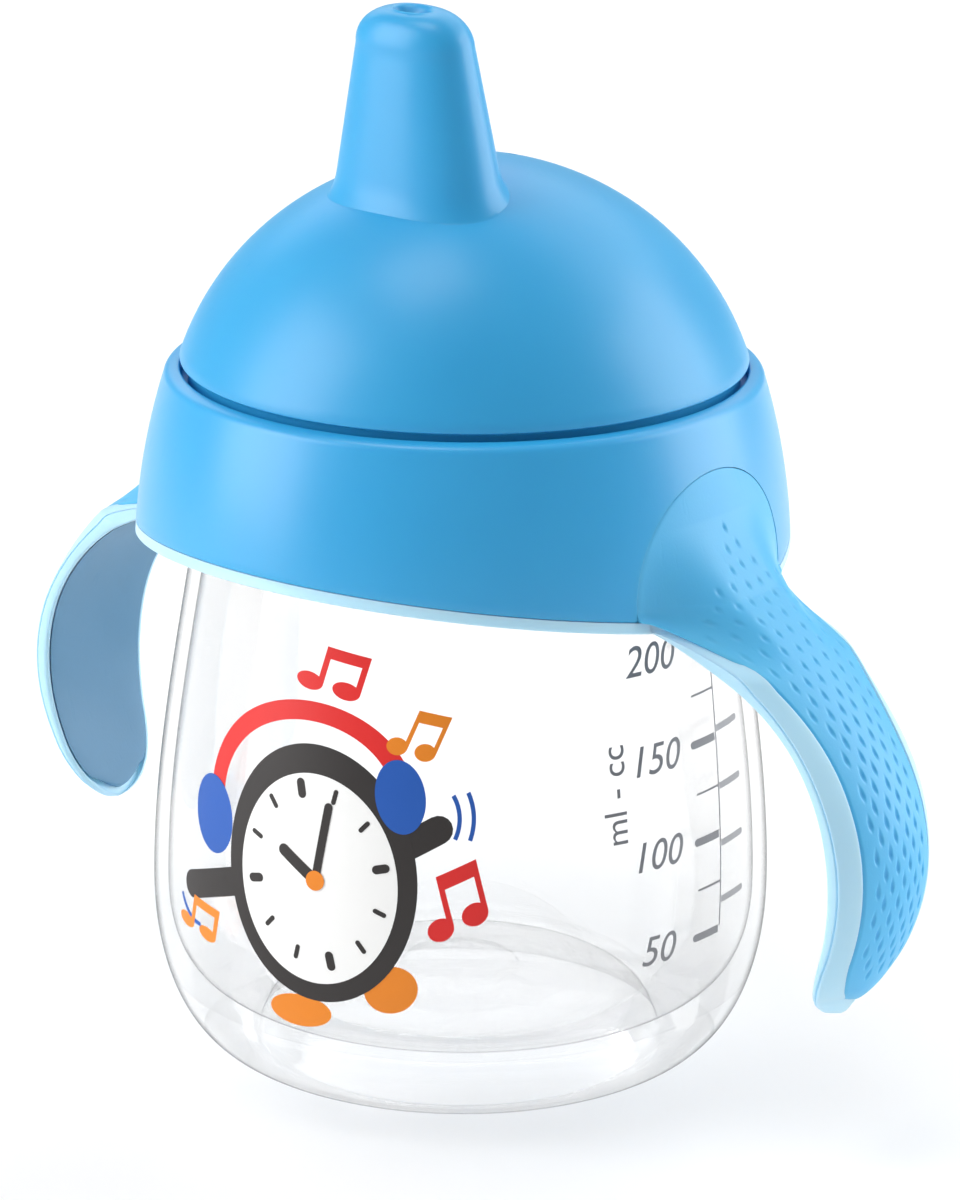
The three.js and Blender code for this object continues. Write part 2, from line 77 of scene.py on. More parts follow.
# Collar: its outer radius grows downwards and stays the same below the straight
COLLAR_TOP = 88.5
COLLAR_TOP_RADIUS = 37.3
COLLAR_FLARE = 0.32
COLLAR_BEND = 0.0064
COLLAR_STRAIGHT = 63.5
COLLAR_BORE = 35.3
CORE_TOP = 84.9
BAND_WALL = 1.2
BLUE_EDGE = 64.5
PALE_EDGE = 63.0
EDGE_RISE = 7.0
EDGE_SOFTNESS = 0.06
ARCH_HALF = 14.3
ARCH_BASE = 68.0
ARCH_TOP = 82.6
SEAM = 0.05

# Handles: the soft grip outside, the pale arm, the smooth pad inside
GRIP_TIP = 19.9
GRIP_THICKNESS = 1.15
GRIP_BLADE_EXTRA = 0.5
GRIP_SPACING = 0.27
GRIP_RIM = 0.55
GRIP_TIP_REACH = 3.0
GRIP_TIP_DROP = 1.1
CROWN = 0.9
DENT_DEPTH = 0.32
DENT_START = 7.0
DENT_END = 5.5
DENT_COLUMN = 2.35
DENT_ROW = 2.5
ARM_TIP = 16.4
ARM_TOP = 70.5
ARM_ROOT = 38.5
ARM_STATIONS = 150
ARM_CORE = 0.6
GRIP_POCKET = 1.6
CORNER_DROP = 1.3
PAD_POCKET = 0.8
PAD_TOP = 66.5
PAD_TIP_GAP = 0.9
PAD_INSET = 0.82
PAD_RISE = 0.3
WAVE_HEIGHT = 0.07

# Lid
DOME_RADIUS = 37.41
DOME_RISE = 36.44
DOME_CENTRE = 78.7
LID_WALL = 1.8
SPOUT_LEAN = math.radians(6.5)
SPOUT_FOOT_CENTRE = -9.2
SPOUT_TOP_CENTRE = -9.9
SPOUT_SHOULDER = 131.0
SPOUT_CROWN = 4.3
SPOUT_POWER = 2.25
CHANNEL_POWER = 2.1
CHANNEL_FOOT = -6.4
VENT_CENTRE = 9.0
VENT_RADIUS = 0.8

# Share of the light that passes the thin wall without bending
CLEAR_SHARE = 0.78

# Print
INK_LIFT = 0.05
INK_THICKNESS = 0.03
INK_LAYER = 0.04
PICTURE_AZIMUTH = math.radians(14.0)
SCALE_AZIMUTH = math.radians(96.0)
SCALE_LEAN = 0.073


# ------------------------------------------------------------ curves and shapes

def bezier(start, pull, push, end, steps=24):
    """Points of one Bezier curve, both ends included."""
    t = np.linspace(0, 1, steps + 1)[:, None]
    start, pull, push, end = (np.array(p, float) for p in (start, pull, push, end))
    return ((1 - t) ** 3 * start + 3 * (1 - t) ** 2 * t * pull
            + 3 * (1 - t) * t ** 2 * push + t ** 3 * end)


def chain(*parts):
    """Joins runs of points into one line and drops the points that repeat."""
    line = np.vstack([np.atleast_2d(np.array(part, float)) for part in parts])
    keep = np.r_[True, np.linalg.norm(np.diff(line, axis=0), axis=1) > 1e-6]
    return line[keep]


def smooth_step(value):
    value = np.clip(value, 0, 1)
    return value * value * (3 - 2 * value)


def along(line, count=None, spacing=None, ends=0):
    """Points at even distances on a line, closer together over `ends` mm at both ends."""
    run = np.r_[0, np.cumsum(np.linalg.norm(np.diff(line, axis=0), axis=1))]
    if spacing:
        count = int(round(run[-1] / spacing))
    at = np.linspace(0, run[-1], count)
    if ends:
        close = ends * (1 - np.cos(np.linspace(0, math.pi / 2, 20)))
        middle = at[(at > ends + 0.1) & (at < run[-1] - ends - 0.1)]
        at = np.r_[close, middle, run[-1] - close[::-1]]
    return np.column_stack([np.interp(at, run, line[:, k]) for k in range(2)]), at


def radius_on(line):
    """A function that gives a falling line's radius at a height."""
    order = np.argsort(line[:, 1])
    heights, radii = line[order, 1], line[order, 0]
    return lambda height: np.interp(height, heights, radii)


# ---------------------------------------------------------------- making pieces

def edit(piece):
    """Opens one piece in edit mode with everything selected."""
    bpy.ops.object.select_all(action="DESELECT")
    piece.select_set(True)
    bpy.context.view_layer.objects.active = piece
    bpy.ops.object.mode_set(mode="EDIT")
    bpy.ops.mesh.select_all(action="SELECT")


def close_up(piece, angle=35):
    """Merges seams and poles, turns the faces outward and smooths the shading."""
    edit(piece)
    bpy.ops.mesh.remove_doubles(threshold=0.004 * MM)
    bpy.ops.mesh.delete_loose()
    bpy.ops.mesh.select_all(action="SELECT")
    bpy.ops.mesh.normals_make_consistent(inside=False)
    bpy.ops.object.mode_set(mode="OBJECT")
    bpy.ops.object.shade_smooth_by_angle(angle=math.radians(angle))
    return piece


def set_points(piece, points):
    piece.data.vertices.foreach_set("co", (np.asarray(points, float) * MM).ravel())
    piece.data.update()


def get_points(piece):
    points = np.zeros(len(piece.data.vertices) * 3)
    piece.data.vertices.foreach_get("co", points)
    return points.reshape(-1, 3) / MM


def named(name):
    piece = bpy.context.object
    piece.name = piece.data.name = name
    return piece


def ring_piece(name, points, fill="NGON"):
    """A closed ring of points, filled with one face, or left open with fill NOTHING."""
    bpy.ops.object.select_all(action="DESELECT")
    bpy.ops.mesh.primitive_circle_add(vertices=len(points), radius=1, fill_type=fill)
    piece = named(name)
    set_points(piece, points)
    return piece


def spun(name, outline, steps=144, angle=35):
    """Draws an outline of (radius, height) points and spins it round the cup's axis."""
    piece = ring_piece(name, [(radius, 0, height) for radius, height in outline], "NOTHING")
    edit(piece)
    bpy.ops.mesh.spin(steps=steps, angle=FULL_TURN, center=(0, 0, 0), axis=(0, 0, 1))
    bpy.ops.object.mode_set(mode="OBJECT")
    return close_up(piece, angle)


def wrapped(name, rows, angle=35):
    """Lays a grid of vertices over rows of points. Edges that meet are merged."""
    rows = np.asarray(rows, float)
    bpy.ops.object.select_all(action="DESELECT")
    bpy.ops.mesh.primitive_grid_add(
        x_subdivisions=rows.shape[1] - 1, y_subdivisions=rows.shape[0] - 1, size=1)
    piece = named(name)
    set_points(piece, rows.reshape(-1, 3))
    return close_up(piece, angle)


def prism(name, outline, place, depth):
    """Fills a flat outline and extrudes it. `place` puts a point of it in space."""
    piece = ring_piece(name, [place(*point) for point in outline])
    edit(piece)
    bpy.ops.mesh.extrude_region_move(
        TRANSFORM_OT_translate={"value": tuple(d * MM for d in depth)})
    bpy.ops.object.mode_set(mode="OBJECT")
    return close_up(piece)


def combine(piece, other, operation, angle=35):
    """Adds another solid to a piece, or cuts it away, and removes the other solid."""
    bpy.ops.object.select_all(action="DESELECT")
    bpy.context.view_layer.objects.active = piece
    piece.select_set(True)
    modifier = piece.modifiers.new("combine", "BOOLEAN")
    modifier.operation = operation
    modifier.solver = "EXACT"
    modifier.object = other
    bpy.ops.object.modifier_apply(modifier=modifier.name)
    bpy.data.objects.remove(other)
    return close_up(piece, angle)


def finish_piece(piece, body, node, material):
    """Gives a piece its material and its body, and hides the CAD node it stands for."""
    piece.data.materials.clear()
    piece.data.materials.append(material)
    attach(piece, body)
    if node:
        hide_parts(node)


# -------------------------------------------------------------- shared effects

def socket(group, name, direction, kind, default=None):
    made = group.interface.new_socket(name=name, in_out=direction, socket_type=kind)
    if default is not None:
        made.default_value = default


def moulded_grain():
    """Fine mould texture, slow shade drift and scuffs, for every plastic and ink."""
    group = bpy.data.node_groups.new("moulded_grain", "ShaderNodeTree")
    socket(group, "Grain Scale", "INPUT", "NodeSocketFloat", 2500.0)
    socket(group, "Drift Scale", "INPUT", "NodeSocketFloat", 60.0)
    socket(group, "Light Colour", "INPUT", "NodeSocketColor")
    socket(group, "Dark Colour", "INPUT", "NodeSocketColor")
    socket(group, "Smooth", "INPUT", "NodeSocketFloat", 0.3)
    socket(group, "Rough", "INPUT", "NodeSocketFloat", 0.4)
    socket(group, "Colour", "OUTPUT", "NodeSocketColor")
    socket(group, "Roughness", "OUTPUT", "NodeSocketFloat")
    socket(group, "Height", "OUTPUT", "NodeSocketFloat")
    nodes, links = group.nodes, group.links
    start, end = nodes.new("NodeGroupInput"), nodes.new("NodeGroupOutput")
    place = nodes.new("ShaderNodeTexCoord")

    grain = nodes.new("ShaderNodeTexNoise")
    grain.inputs["Detail"].default_value = 3
    links.new(place.outputs["Object"], grain.inputs["Vector"])
    links.new(start.outputs["Grain Scale"], grain.inputs["Scale"])
    drift = nodes.new("ShaderNodeTexNoise")
    drift.inputs["Detail"].default_value = 2
    links.new(place.outputs["Object"], drift.inputs["Vector"])
    links.new(start.outputs["Drift Scale"], drift.inputs["Scale"])

    # Scuffs are the thin bright ridges of a stretched noise.
    stretch = nodes.new("ShaderNodeMapping")
    stretch.inputs["Scale"].default_value = (1.0, 2.2, 0.5)
    stretch.inputs["Rotation"].default_value = (0.5, 0.3, 0.8)
    links.new(place.outputs["Object"], stretch.inputs["Vector"])
    scuff = nodes.new("ShaderNodeTexNoise")
    scuff.inputs["Scale"].default_value = 420
    scuff.inputs["Detail"].default_value = 4
    links.new(stretch.outputs["Vector"], scuff.inputs["Vector"])
    scuff_mask = nodes.new("ShaderNodeMapRange")
    scuff_mask.inputs["From Min"].default_value = 0.62
    scuff_mask.inputs["From Max"].default_value = 0.76
    links.new(scuff.outputs["Fac"], scuff_mask.inputs["Value"])

    shade = nodes.new("ShaderNodeMix")
    shade.data_type = "RGBA"
    links.new(drift.outputs["Fac"], shade.inputs["Factor"])
    links.new(start.outputs["Dark Colour"], shade.inputs["A"])
    links.new(start.outputs["Light Colour"], shade.inputs["B"])
    links.new(shade.outputs["Result"], end.inputs["Colour"])

    both = nodes.new("ShaderNodeMath")
    both.operation = "MULTIPLY_ADD"
    both.inputs[1].default_value = 0.6
    links.new(scuff_mask.outputs["Result"], both.inputs[0])
    links.new(drift.outputs["Fac"], both.inputs[2])
    rough = nodes.new("ShaderNodeMapRange")
    links.new(both.outputs["Value"], rough.inputs["Value"])
    links.new(start.outputs["Smooth"], rough.inputs["To Min"])
    links.new(start.outputs["Rough"], rough.inputs["To Max"])
    links.new(rough.outputs["Result"], end.inputs["Roughness"])

    height = nodes.new("ShaderNodeMath")
    height.operation = "SUBTRACT"
    links.new(grain.outputs["Fac"], height.inputs[0])
    links.new(scuff_mask.outputs["Result"], height.inputs[1])
    links.new(height.outputs["Value"], end.inputs["Height"])
    return group


GRAIN = moulded_grain()


def new_material(name):
    material = bpy.data.materials.new(name)
    material.use_nodes = True
    return material, material.node_tree.nodes["Principled BSDF"]


def grained(name, light, dark, smooth, rough, grain, drift, bump, bump_depth):
    """A material that takes its shade, roughness and bumps from the moulded grain."""
    material, shader = new_material(name)
    nodes, links = material.node_tree.nodes, material.node_tree.links
    group = nodes.new("ShaderNodeGroup")
    group.node_tree = GRAIN
    for key, value in (("Grain Scale", grain), ("Drift Scale", drift),
                       ("Light Colour", (*light, 1)), ("Dark Colour", (*dark, 1)),
                       ("Smooth", smooth), ("Rough", rough)):
        group.inputs[key].default_value = value
    bumps = nodes.new("ShaderNodeBump")
    bumps.inputs["Strength"].default_value = bump
    bumps.inputs["Distance"].default_value = bump_depth
    links.new(group.outputs["Height"], bumps.inputs["Height"])
    links.new(bumps.outputs["Normal"], shader.inputs["Normal"])
    links.new(group.outputs["Colour"], shader.inputs["Base Color"])
    links.new(group.outputs["Roughness"], shader.inputs["Roughness"])
    return material, shader


def plastic(name, light, dark, smooth, rough, grain=2500.0, bump=0.05, drift=60.0,
            coat=0.0, glow_depth=0.0):
    """A moulded plastic, rubber or ink with its own two shades and two roughnesses."""
    material, shader = grained(name, light, dark, smooth, rough, grain, drift, bump, 0.0001)
    shader.inputs["Coat Weight"].default_value = coat
    shader.inputs["Coat Roughness"].default_value = 0.25
    if glow_depth:
        shader.inputs["Subsurface Weight"].default_value = 0.35
        shader.inputs["Subsurface Radius"].default_value = (0.6, 0.8, 1.0)
        shader.inputs["Subsurface Scale"].default_value = glow_depth
    return material


def clear_plastic():
    """Thin clear moulding: faint ripples and scuffs, painted grey shade at its grazing edges, a
    pale shadow.
    """
    material, shader = grained("clear_moulding", (0.985, 0.992, 1.0), (0.965, 0.978, 0.99),
                               0.015, 0.05, 90, 25, 0.02, 0.0002)
    nodes, links = material.node_tree.nodes, material.node_tree.links
    shader.inputs["Transmission Weight"].default_value = 1.0
    shader.inputs["IOR"].default_value = 1.3
    # Painted shade: the see-through share turns grey where the wall is seen edge-on, standing in
    # for the dark refraction lines at the wall's edges.
    facing = nodes.new("ShaderNodeLayerWeight")
    edge = nodes.new("ShaderNodeMapRange")
    edge.interpolation_type = "SMOOTHSTEP"
    edge.inputs["From Min"].default_value = 0.78
    edge.inputs["From Max"].default_value = 1.0
    edge.inputs["To Min"].default_value = 0.985
    edge.inputs["To Max"].default_value = 0.35
    links.new(facing.outputs["Facing"], edge.inputs["Value"])
    clear = nodes.new("ShaderNodeBsdfTransparent")
    links.new(edge.outputs["Result"], clear.inputs["Color"])
    path = nodes.new("ShaderNodeLightPath")
    share = nodes.new("ShaderNodeMath")
    share.operation = "MAXIMUM"
    share.inputs[1].default_value = CLEAR_SHARE
    links.new(path.outputs["Is Shadow Ray"], share.inputs[0])
    mix = nodes.new("ShaderNodeMixShader")
    links.new(share.outputs["Value"], mix.inputs["Fac"])
    links.new(shader.outputs["BSDF"], mix.inputs[1])
    links.new(clear.outputs["BSDF"], mix.inputs[2])
    links.new(mix.outputs["Shader"], nodes["Material Output"].inputs["Surface"])
    return material


BLUE_LID = plastic("blue_lid_plastic", (0.028, 0.38, 0.72), (0.020, 0.345, 0.675),
                   0.36, 0.45, coat=0.15, glow_depth=0.0012)
BLUE_BAND = plastic("blue_band_plastic", (0.030, 0.40, 0.76), (0.022, 0.36, 0.71),
                    0.33, 0.42, coat=0.3, glow_depth=0.0012)
# The grip's blue is lighter than the band's: the grip's own blue plus a painted highlight from
# the fill light on the right.
SOFT_BLUE_PAINTED_LIGHT = plastic("soft_blue_grip_painted_highlight", (0.09, 0.49, 0.84), (0.075, 0.45, 0.80),
                    0.40, 0.50, grain=3500, bump=0.1, coat=0.05, glow_depth=0.0015)
PALE = plastic("pale_core_plastic", (0.50, 0.79, 1.0), (0.45, 0.75, 0.98),
               0.32, 0.42, bump=0.04, coat=0.05, glow_depth=0.002)
SLATE = plastic("slate_pad_rubber", (0.125, 0.29, 0.46), (0.095, 0.255, 0.415),
                0.45, 0.58, grain=3000, bump=0.1, drift=45)
SILICONE = plastic("milky_silicone", (0.88, 0.91, 0.90), (0.80, 0.84, 0.83),
                   0.42, 0.55, glow_depth=0.004)
CLEAR = clear_plastic()


def ink(name, colour, shade=0.9):
    dark = tuple(c * shade for c in colour)
    return plastic(name, colour, dark, 0.38, 0.5, grain=1800, bump=0.05, drift=140)


INK_RED = ink("red_ink", (0.80, 0.012, 0.010))
INK_ORANGE = ink("orange_ink", (0.88, 0.25, 0.005))
INK_BLUE = ink("blue_ink", (0.005, 0.10, 0.48))
INK_DARK = ink("dark_ink", (0.024, 0.019, 0.018), 0.75)
INK_WHITE = ink("white_ink", (0.95, 0.95, 0.94), 0.98)
INK_GREY = ink("grey_ink", (0.22, 0.22, 0.23))
INK_PALE_GREY = ink("pale_grey_ink", (0.34, 0.34, 0.35))


# --------------------------------------------------------------------- tumbler

OUTER_WALL = chain(
    bezier((29.0, 0.15), (34.6, 1.0), (39.3, 9.0), (39.3, 21.6), 28),
    bezier((39.3, 21.6), (39.3, 36), (36.3, 52), (34.5, 63.5), 28),
    bezier((34.5, 63.5), (34.1, 66.0), (33.5, 67.5), (NECK_RADIUS, 70.0), 6),
    (NECK_RADIUS, RIM_HEIGHT - 0.7),
)
wall_radius = radius_on(OUTER_WALL)


def thread_bead(name, radius, base, start):
    """One round thread bead: a circle swept up a helix and closed at both ends."""
    turn = np.linspace(0, FULL_TURN, BEAD_SIDES, endpoint=False)
    across = radius + THREAD_BEAD * np.cos(turn)
    angle = start * FULL_TURN / THREAD_STARTS
    bead = ring_piece(name, np.column_stack([
        across * math.cos(angle), across * math.sin(angle), base + THREAD_BEAD * np.sin(turn)]),
        "NOTHING")
    screw = bead.modifiers.new("screw", "SCREW")
    screw.angle = THREAD_TURNS * FULL_TURN
    screw.screw_offset = THREAD_TURNS * THREAD_LEAD * MM
    screw.steps = screw.render_steps = 40
    bpy.ops.object.modifier_apply(modifier=screw.name)
    edit(bead)
    bpy.ops.mesh.select_all(action="DESELECT")
    bpy.ops.mesh.select_mode(type="EDGE")
    bpy.ops.mesh.select_non_manifold()
    bpy.ops.mesh.fill_holes(sides=0)
    bpy.ops.object.mode_set(mode="OBJECT")
    return close_up(bead)


def add_thread(piece, radius, base):
    for start in range(THREAD_STARTS):
        bead = thread_bead(f"thread_{start}", radius, base, start)
        combine(piece, bead, "UNION")
    return piece


def make_tumbler():
    outline = chain(
        (0, 6.7), bezier((19, 6.7), (23.4, 6.7), (24.8, 3.4), (25.5, 1.5), 8),
        bezier((25.5, 1.5), (25.7, 0.4), (26.3, 0), (27.2, 0), 5), (28.3, 0),
        OUTER_WALL,
        bezier((NECK_RADIUS, 82.7), (33.4, 83.4), (32.9, 83.4), (32.5, 83.4), 5),
        bezier((32.5, 83.4), (31.9, 83.4), (31.6, 83.1), (31.6, 82.4), 5),
        bezier((31.6, 70.0), (31.7, 67.5), (32.3, 66.0), (32.7, 63.5), 6),
        bezier((32.7, 63.5), (34.5, 52), (37.5, 36), (37.5, 21.6), 28),
        bezier((37.5, 21.6), (37.5, 13.4), (34.6, FLOOR_TOP + 0.1), (28, FLOOR_TOP), 20),
        bezier((16.2, FLOOR_TOP), (15.9, 8.6), (15.7, 8.4), (15.4, 8.35), 4), (8.6, 8.35),
        bezier((8.0, 8.35), (7.5, 8.4), (7.4, 9.4), (6.6, 9.55), 6),
        bezier((5.0, 9.5), (3.0, 9.1), (1.5, 9.0), (0, 9.0), 6),
    )
    tumbler = spun("clear_tumbler", outline, steps=160, angle=50)
    add_thread(tumbler, NECK_RADIUS, THREAD_BASE)
    finish_piece(tumbler, "tumbler", "tumbler", CLEAR)


# ---------------------------------------------------------------------- collar

def collar_radius(height):
    """The collar widens downwards in a soft curve."""
    drop = COLLAR_TOP - np.maximum(height, COLLAR_STRAIGHT)
    return COLLAR_TOP_RADIUS + COLLAR_FLARE * drop - COLLAR_BEND * drop ** 2


def around(name, section, steps=240):
    """Sweeps a section round the cup. The section may change with the angle."""
    rows = []
    for angle in np.linspace(0, FULL_TURN, steps + 1):
        outline = section(angle)
        outline = np.vstack([outline, outline[:1]])
        rows.append(np.column_stack([
            outline[:, 0] * math.cos(angle), outline[:, 0] * math.sin(angle), outline[:, 1]]))
    return wrapped(name, rows)


def lower_edge(height, angle):
    """The wavy lower edge: lowest beside the handles, higher at the front and back."""
    rise = math.sqrt(math.sin(angle) ** 2 + EDGE_SOFTNESS ** 2) - EDGE_SOFTNESS
    return height + EDGE_RISE * rise


def band_section(angle):
    low = lower_edge(BLUE_EDGE, angle)
    outer = np.linspace(87.7, low + 0.35, 22)
    inner = np.linspace(low, CORE_TOP + 0.6, 8)
    return chain(
        (35.5, 87.2), (35.45, 88.6),
        bezier((35.45, 88.6), (35.45, 88.95), (35.6, 89.05), (35.85, 88.98), 4),
        bezier((36.6, 88.78), (37.1, 88.65), (37.45, 88.3), (37.55, 87.7), 6),
        np.column_stack([collar_radius(outer), outer]),
        (collar_radius(low) - 0.08, low + 0.09), (collar_radius(low) - 0.3, low),
        np.column_stack([collar_radius(inner) - BAND_WALL, inner]),
        (36.9, 87.2),
    )


def arch_outline(grow):
    """The soft grip's arch on the collar's side, open below."""
    half, rise = ARCH_HALF + grow, ARCH_TOP - ARCH_BASE + grow
    turn = np.linspace(0, math.pi, 65)
    return chain(
        (half, 50), np.column_stack([half * np.cos(turn), ARCH_BASE + rise * np.sin(turn)]),
        (-half, 50))


def make_band():
    band = around("blue_band", band_section)
    for side in (RIGHT, LEFT):
        cut = prism("arch_cut", arch_outline(0), lambda y, z: (20 * side, y, z),
                    (40 * side, 0, 0))
        combine(band, cut, "DIFFERENCE")
    finish_piece(band, "collar", "collar_shell", BLUE_BAND)


def core_section(angle):
    low = lower_edge(PALE_EDGE, angle)
    step = lower_edge(BLUE_EDGE, angle) - 0.01
    wall = np.linspace(step, CORE_TOP, 12)
    return chain(
        (COLLAR_BORE, CORE_TOP), (COLLAR_BORE, low + 0.5), (COLLAR_BORE + 0.5, low),
        (collar_radius(low) - 0.5, low),
        bezier((collar_radius(low) - 0.5, low), (41.0, low), (41.27, low + 0.2),
               (collar_radius(low) - 0.02, low + 0.5), 4),
        (collar_radius(step) - 0.01, step),
        np.column_stack([collar_radius(wall) - BAND_WALL - 0.1, wall]),
    )


# --------------------------------------------------------------------- handles

BLADE = bezier((41, 73), (47.5, 66.2), (68.8, 55.5), (68.8, 37), 60)[12:]
OUTER_PATH = chain(
    np.column_stack([collar_radius(np.linspace(ARCH_TOP - 0.1, 77, 16)),
                     np.linspace(ARCH_TOP - 0.1, 77, 16)]),
    bezier((collar_radius(77), 77), (41.2, 74.2), (43.7, 71.2), BLADE[0], 14),
    BLADE,
    bezier((68.8, 37), (68.8, 30), (65.7, 24.0), (62.2, 18.4), 30),
    (61.3, ARM_TIP),
)
INNER_PATH = chain(
    bezier((36.5, 67), (45, 63), (64.5, 57), (64.5, 37), 60),
    bezier((64.5, 37), (64.5, 31), (62.5, 25.5), (59.2, 19.6), 30),
    (58.5, 18.4),
)
path_radius = radius_on(OUTER_PATH)

GRIP_EDGE = chain(
    bezier((ARCH_HALF - SEAM, ARCH_BASE), (14.25, 67.0), (14.25, 66.7), (14.0, 66.55), 8),
    bezier((14.0, 66.55), (11.7, 66.3), (7.0, 62.4), (6.9, 50), 24),
    bezier((6.9, 50), (6.9, 38), (6.9, 33), (6.2, 26.5), 16),
    bezier((6.2, 26.5), (5.3, 22.5), (2.6, GRIP_TIP), (0, GRIP_TIP), 24),
)
ARM_EDGE = chain(
    (13.6, 73),
    bezier((13.6, 68.2), (12.9, 66.4), (9.8, 63.4), (9.75, 52), 24),
    bezier((9.75, 52), (9.75, 40), (9.4, 33), (8.5, 26.5), 16),
    bezier((8.5, 26.5), (8.1, 20.8), (4.8, ARM_TIP), (0, ARM_TIP), 24),
)
grip_half_below = radius_on(GRIP_EDGE)
arm_half = radius_on(ARM_EDGE)


def grip_half(height):
    """Half the grip's width: an arch on the collar, a narrower skin on the blade."""
    rise = np.clip((height - ARCH_BASE) / (ARCH_TOP - 0.1 - ARCH_BASE), 0, 1)
    arch = (ARCH_HALF - SEAM) * np.sqrt(1 - rise ** 2)
    return np.where(height > ARCH_BASE, arch, grip_half_below(height))


def on_collar(height):
    """1 where the grip's edge lies flush in the collar, 0 where it lies on the blade."""
    return smooth_step((height - 61) / 7)


def face_radius(across, height):
    """Distance of the handle's outer face from the cup's axis."""
    collar = collar_radius(height)
    ridge_half = np.where(height > ARCH_BASE, grip_half(height),
                          np.interp(height, [58, ARCH_BASE], [9.5, ARCH_HALF - SEAM]))
    part = np.clip(np.abs(across) / np.maximum(ridge_half, 0.01), 0, 1)
    flush = smooth_step((part - 0.25) / 0.75) * on_collar(height)
    return collar + (path_radius(height) - collar) * (1 - flush)


def dents(run, across, height):
    """Depth of the teardrop dents, in staggered rows down the grip."""
    depth = np.zeros_like(across)
    at, row = DENT_START, 0
    while at < run[-1] - DENT_END:
        low = np.interp(at, run, height[:, 0])
        spread = min(float(grip_half(low)) - 1.5, (76.2 - low) * 0.95)
        blade = float(smooth_step((66 - low) / 12))
        length, half = 0.8 + 0.35 * blade, 0.36 + 0.06 * blade
        near = np.abs(run - at) < 1.8
        for column in range(-7, 8):
            place = (column + 0.5 * (row % 2)) * DENT_COLUMN
            drift = 0.22 * math.sin(5.1 * row + 2.3 * column)
            if abs(place) > spread:
                continue
            down = (run[near, None] - at - drift) / length
            taper = 0.62 + 0.38 * np.clip(down + 0.5, 0, 1)
            wide = (across[near] - place - 0.5 * drift) / (half * taper)
            bowl = np.clip(1 - down ** 2 - wide ** 2, 0, 1) ** 0.75
            depth[near] += DENT_DEPTH * bowl * (0.3 + 0.7 * np.clip(down + 0.6, 0, 1))
        at += DENT_ROW - 0.45 * blade
        row += 1
    return depth


def make_grip(name, side):
    """The dimpled soft grip: an arch set flush in the collar that runs down the blade."""
    top = OUTER_PATH[OUTER_PATH[:, 1] > GRIP_TIP]
    top = chain(top, (path_radius(GRIP_TIP), GRIP_TIP))
    line, run = along(top, spacing=GRIP_SPACING, ends=3)
    part = np.linspace(-1, 1, 121)
    height = np.repeat(line[:, 1:2], len(part), axis=1)
    half = grip_half(height)
    across = half * part
    flush = on_collar(height)
    radius = face_radius(across, height) - CROWN * part ** 2 * (1 - flush)
    rim = np.clip((np.abs(part) * half - half + GRIP_RIM) / GRIP_RIM, 0, 1)
    radius -= rim ** 2 * (0.45 * (1 - flush) + 0.07 * flush)
    radius -= dents(run, across, height)
    left = np.clip((run[-1] - run[:, None]) / GRIP_TIP_REACH, 0, 1)
    radius -= GRIP_TIP_DROP * (1 - np.sqrt(1 - (1 - left) ** 2))

    under_part = np.linspace(1, -1, 13)
    under_height = np.repeat(line[:, 1:2], len(under_part), axis=1)
    under_across = np.maximum(grip_half(under_height) - 0.02, 0) * under_part
    under_radius = (face_radius(under_across, under_height) - GRIP_THICKNESS
                    - GRIP_BLADE_EXTRA * (1 - on_collar(under_height)))
    radius = np.hstack([radius, under_radius, radius[:, :1]])
    across = np.hstack([across, under_across, across[:, :1]])
    height = np.hstack([height, under_height, height[:, :1]])
    rows = np.stack([side * np.sqrt(radius ** 2 - across ** 2), across, height], axis=2)
    grip = wrapped(name, rows, angle=55)
    finish_piece(grip, "collar", "grip_right" if side == RIGHT else "grip_left",
                 SOFT_BLUE_PAINTED_LIGHT)


def arm_section(high):
    """Half of the arm's section: across, depth, and whether it counts from the outer face."""
    edge = float(arm_half(high))
    grip_edge = min(float(grip_half(high)), edge * 0.8)
    slope = float(path_radius(high + 0.5) - path_radius(high - 0.5))
    flush = float(on_collar(high))
    rim = (CROWN * (1 - flush) + 0.1) / math.hypot(1, slope)
    rim += CORNER_DROP * flush * (1 - flush)
    outer = [(0, GRIP_POCKET), (grip_edge - 0.5, GRIP_POCKET), (grip_edge - 0.12, rim + 0.4),
             (grip_edge + 0.02, rim), (grip_edge + 0.3, rim + 0.02), (edge - 0.35, rim + 1.3),
             (edge - 0.12, rim + 1.5), (edge - 0.10, rim + 1.6), (edge - 0.36, rim + 1.7),
             (edge - 0.36, rim + 1.78), (edge - 0.06, rim + 1.88), (edge, rim + 1.98)]
    inner = [(edge, 0.5), (edge - 0.1, 0.25), (edge - 0.32, 0.08), (edge - 0.6, 0.0),
             (edge - 0.68, 0.05), (edge - 0.8, PAD_POCKET), (0, PAD_POCKET)]
    return ([(max(across, 0), depth, True) for across, depth in outer]
            + [(max(across, 0), depth, False) for across, depth in inner])


def inner_face(across, high, inner_point):
    """A point of the arm's inner face. At the root it rises to the collar's lower edge."""
    angle = math.acos(min(abs(across) / 41.0, 1))
    part = abs(across) / max(float(arm_half(high)), 0.01)
    lift = float(smooth_step((part - 0.1) / 0.7) * smooth_step((high - 60) / 6))
    target = np.array([40.5, lower_edge(PALE_EDGE, math.pi / 2 - angle) + 0.15])
    return inner_point + (target - inner_point) * lift


def arm_stations():
    """Matching points of the outer and inner face, with the distance left to the tip."""
    outer, run = along(OUTER_PATH[OUTER_PATH[:, 1] < ARM_TOP], count=ARM_STATIONS, ends=3)
    inner, _ = along(INNER_PATH[INNER_PATH[:, 0] > ARM_ROOT], count=ARM_STATIONS, ends=3)
    return [(high, point, run[-1] - at) for (_, high), point, at in zip(outer, inner, run)]


